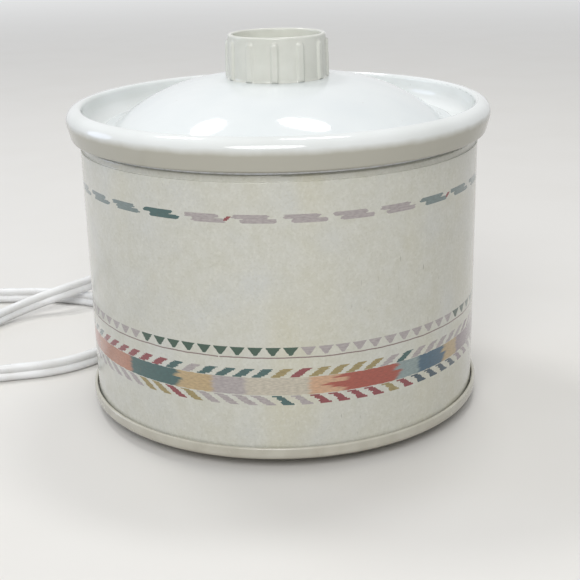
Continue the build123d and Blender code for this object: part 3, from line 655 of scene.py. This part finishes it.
def bare_metal(name, colour, tarnish, size, stretch, smooth, rough):
    """Plain or plated metal: its colour drifts a little, and the marks of drawing, rolling
    or plating, of a size and a stretch along the axes, draw its sheen one way."""
    material, tree = new_material(name)
    surface = coated(tree, colour, [(tarnish, patches(tree, 0.35, 0.7, 0.0, 1.0, size * 4, 3))])
    marks = grain(tree, size, 3, stretch)
    lines = add(tree, "Bump", {"Strength": 0.15, "Distance": 0.00005, "Height": marks})
    shader = add(tree, "BsdfPrincipled", {
        "Base Color": surface, "Metallic": 1.0, "Normal": lines,
        "Roughness": add(tree, "MapRange", [marks, 0.3, 0.7, smooth, rough]),
    })
    add(tree, "OutputMaterial", [shader])
    return material


def foil_tape():
    """Heater under aluminium foil tape: bright metal in small creases over the windings."""
    crease_size, winding_pitch = 5, 2.5
    material, tree = new_material("creased_foil_tape")
    place = add(tree, "TexCoord", out="Object")
    height = add(tree, "SeparateXYZ", [place], out=2)
    feeds = {"Vector": place, "Scale": 1 / (crease_size * MM)}
    creases = add(tree, "TexVoronoi", feeds, feature="DISTANCE_TO_EDGE")
    winding = add(tree, "Math", [height, 2 * math.pi / (winding_pitch * MM)], operation="MULTIPLY")
    winding = add(tree, "Math", [winding], operation="SINE")
    relief = add(tree, "Math", [winding, 0.12, creases], operation="MULTIPLY_ADD")
    shader = add(tree, "BsdfPrincipled", {
        "Base Color": coated(tree, "#c3c4c6", [("#a9a69f", grain(tree, 12, 3))]), "Metallic": 1.0,
        "Roughness": patches(tree, 0.3, 0.7, 0.22, 0.42, 2, 3),
        "Normal": add(tree, "Bump", {"Strength": 0.5, "Distance": 0.0004, "Height": relief}),
    })
    add(tree, "OutputMaterial", [shader])
    return material


def woven_glass(name, colour, shade, pitch):
    """Braided glass-fibre sleeving: matt threads that cross at a slant, a pitch apart, with
    painted shade in the darker gaps between them."""
    material, tree = new_material(name)
    place = add(tree, "TexCoord", out="Object")
    turned = add(tree, "Mapping", {"Vector": place, "Rotation": (0.6, 0.4, math.pi / 4)})
    threads = {"Vector": turned, "Scale": 0.314 / (pitch * MM), "Distortion": 0.3}
    along = add(tree, "TexWave", threads, out="Fac")
    across = add(tree, "TexWave", threads, out="Fac", bands_direction="Y")
    weave = add(tree, "Math", [along, across], operation="MULTIPLY")
    shader = add(tree, "BsdfPrincipled", {
        # Painted shade: the gaps between threads take the darker shade colour.
        "Base Color": coated(tree, shade, [(colour, weave)]), "Roughness": 0.8, "IOR": 1.5,
        "Normal": add(tree, "Bump", {"Strength": 0.4, "Distance": 0.0002, "Height": weave}),
    })
    add(tree, "OutputMaterial", [shader])
    return material


def foot_rubber():
    """Moulded rubber: near black and matt, with a fine grain and dust on it."""
    material, tree = new_material("moulded_rubber")
    dust = patches(tree, 0.45, 0.8, 0.0, 0.5, 3, 3)
    skin = add(tree, "Bump", {"Strength": 0.2, "Distance": 0.0001, "Height": grain(tree, 0.5, 2)})
    shader = add(tree, "BsdfPrincipled", {
        "Base Color": coated(tree, "#262524", [("#4b4843", dust)]), "Roughness": 0.72,
        "IOR": 1.52, "Normal": skin,
    })
    add(tree, "OutputMaterial", [shader])
    return material


# Stage

def soft_lamp(name, place, target, width, depth, power, colour="#ffffff"):
    """A soft oval lamp that looks at a point; places are in metres."""
    data = bpy.data.lights.new(name, "AREA")
    data.shape = "ELLIPSE"
    data.size = width
    data.size_y = depth
    data.energy = power
    data.color = linear(colour)[:3]
    lamp = bpy.data.objects.new(name, data)
    bpy.context.scene.collection.objects.link(lamp)
    aim = (Vector(target) - Vector(place)).to_track_quat("-Z", "Y")
    lamp.matrix_world = Matrix.Translation(place) @ aim.to_matrix().to_4x4()


def backdrop_rays(tree):
    """The rays that show the backdrop: the camera's own, and those by way of metal or glass."""
    seen = add(tree, "LightPath", out="Is Camera Ray")
    for way in ("Is Glossy Ray", "Is Transmission Ray"):
        seen = add(tree, "Math", [seen, add(tree, "LightPath", out=way)], operation="MAXIMUM")
    return seen


def make_floor():
    """A plain matt floor. It is pale where it is seen, and fades into the pale backdrop."""
    material, tree = new_material("matt_pale_floor")
    seen = backdrop_rays(tree)
    place = add(tree, "TexCoord", out="Object")
    away = add(tree, "VectorMath", [place], out="Value", operation="LENGTH")
    ends = [fade_near, fade_far, 0.0, 1.0]
    fade = add(tree, "MapRange", [away, *ends], interpolation_type="SMOOTHSTEP")
    fade = add(tree, "Math", [fade, seen], operation="MULTIPLY")
    surface = coated(tree, "#b3b0ab", [
        ("#e6e4e0", seen),
        ("#dedbd5", patches(tree, 0.4, 0.7, 0.0, 0.2, 60, 2)),
    ])
    shader = add(tree, "BsdfPrincipled", {"Base Color": surface, "Roughness": 0.6, "IOR": 1.45})
    far = add(tree, "Emission", {"Color": backdrop_colour, "Strength": backdrop_strength})
    add(tree, "OutputMaterial", [add(tree, "MixShader", [fade, shader, far])])
    bm = bmesh.new()
    bmesh.ops.create_grid(bm, x_segments=1, y_segments=1, size=floor_half_width)
    mesh = bpy.data.meshes.new("floor")
    bm.to_mesh(mesh)
    bm.free()
    mesh.materials.append(material)
    floor = bpy.data.objects.new("floor", mesh)
    bpy.context.scene.collection.objects.link(floor)


def make_world():
    """An even pale light from all round, and the same backdrop, which looks brighter."""
    world = bpy.data.worlds.new("studio")
    bpy.context.scene.world = world
    world.use_nodes = True
    tree = world.node_tree
    tree.nodes.clear()
    ends = [0.0, 1.0, surrounding_strength, backdrop_strength]
    strength = add(tree, "MapRange", [backdrop_rays(tree), *ends])
    shader = add(tree, "Background", {"Color": backdrop_colour, "Strength": strength})
    add(tree, "OutputWorld", [shader])


place_camera()
bpy.context.scene.view_settings.view_transform = "Standard"
white_vinyl = moulded_plastic("extruded_white_vinyl", "#f1f2f3", "#e7e7e6", 0.24, 0.36)
make_cord(white_vinyl)
make_pan(stoved_paint())
make_knob(moulded_plastic("moulded_knob_plastic", "#dcddd5", "#d4d5cc", 0.14, 0.22))

# The crock's shade colour is painted shade on its rim's outer side, below the crest.
crock_glaze = fired_glaze(
    "fired_stoneware_glaze", "#e8ebea", "#e1e4e2", foot_height=31.9,
    painted_shade_low=99.1, painted_shade_high=101.2, shade="#bcbaae",
)
lid_glaze = fired_glaze(
    "fired_lid_glaze", "#e6eaea", "#e0e5e6", foot_height=80,
    painted_shade_low=85, painted_shade_high=86, shade="#e0e5e6",
)
brass = bare_metal("drawn_brass", "#cfae6a", "#b8965a", 0.3, (1, 1, 12), 0.25, 0.4)
aluminium = bare_metal("drawn_aluminium", "#c4c6c8", "#b3b2ae", 0.4, (1, 1, 30), 0.3, 0.48)
plated = bare_metal("zinc_plated_steel", "#c5c8cc", "#b9b7a8", 0.6, (1, 1, 1), 0.28, 0.42)
tinned = bare_metal("tinned_fuse_can", "#d4d1c9", "#bcb8ae", 0.5, (12, 1, 1), 0.25, 0.4)
sleeve = woven_glass("braided_glass_sleeve", "#d8d0b9", "#a89d82", 0.9)
jacket = woven_glass("braided_wire_jacket", "#d5d1c6", "#aaa59a", 0.7)
nylon = moulded_plastic("moulded_crimp_nylon", "#d9d6ca", "#cfcab9", 0.35, 0.5)

paint_nodes(printed_steel(), "outer_shell")
paint_nodes(crock_glaze, "crock")
paint_nodes(lid_glaze, "lid_dome")
paint_nodes(white_vinyl, "strain_relief", "plug_body")
paint_nodes(brass, "plug_blades")
paint_nodes(
    foot_rubber(), "foot_front_left", "foot_front_right", "foot_rear_left", "foot_rear_right",
)
paint_nodes(aluminium, "heater_well", "fuse_clip")
paint_nodes(foil_tape(), "heater_band")
paint_nodes(plated, "band_strap", "strap_fastener", "well_stud", "stud_washer", "stud_nut")
paint_nodes(plated, "knob_washer", "knob_screw")
paint_nodes(tinned, "thermal_fuse")
paint_nodes(sleeve, "fuse_sleeve")
paint_nodes(jacket, "supply_wires", "fuse_leads", "heater_leads")
paint_nodes(nylon, "crimp_connectors")

make_floor()
make_world()
soft_lamp("ceiling_left", (-0.45, 0.44, 1.119), (0, 0, 0.1), 0.3, 0.22, 2.7)
soft_lamp("ceiling_right", (0.174, 0.355, 1.222), (0, 0, 0.1), 0.36, 0.2, 2.7)
soft_lamp("front", (-0.15, -1.1, 0.95), (0, 0, 0.05), 0.9, 0.7, 10)
soft_lamp("window_left", (-1.0, 0.3, 0.3), (0, 0, 0.05), 0.4, 0.5, 1.2, "#d5e2ff")
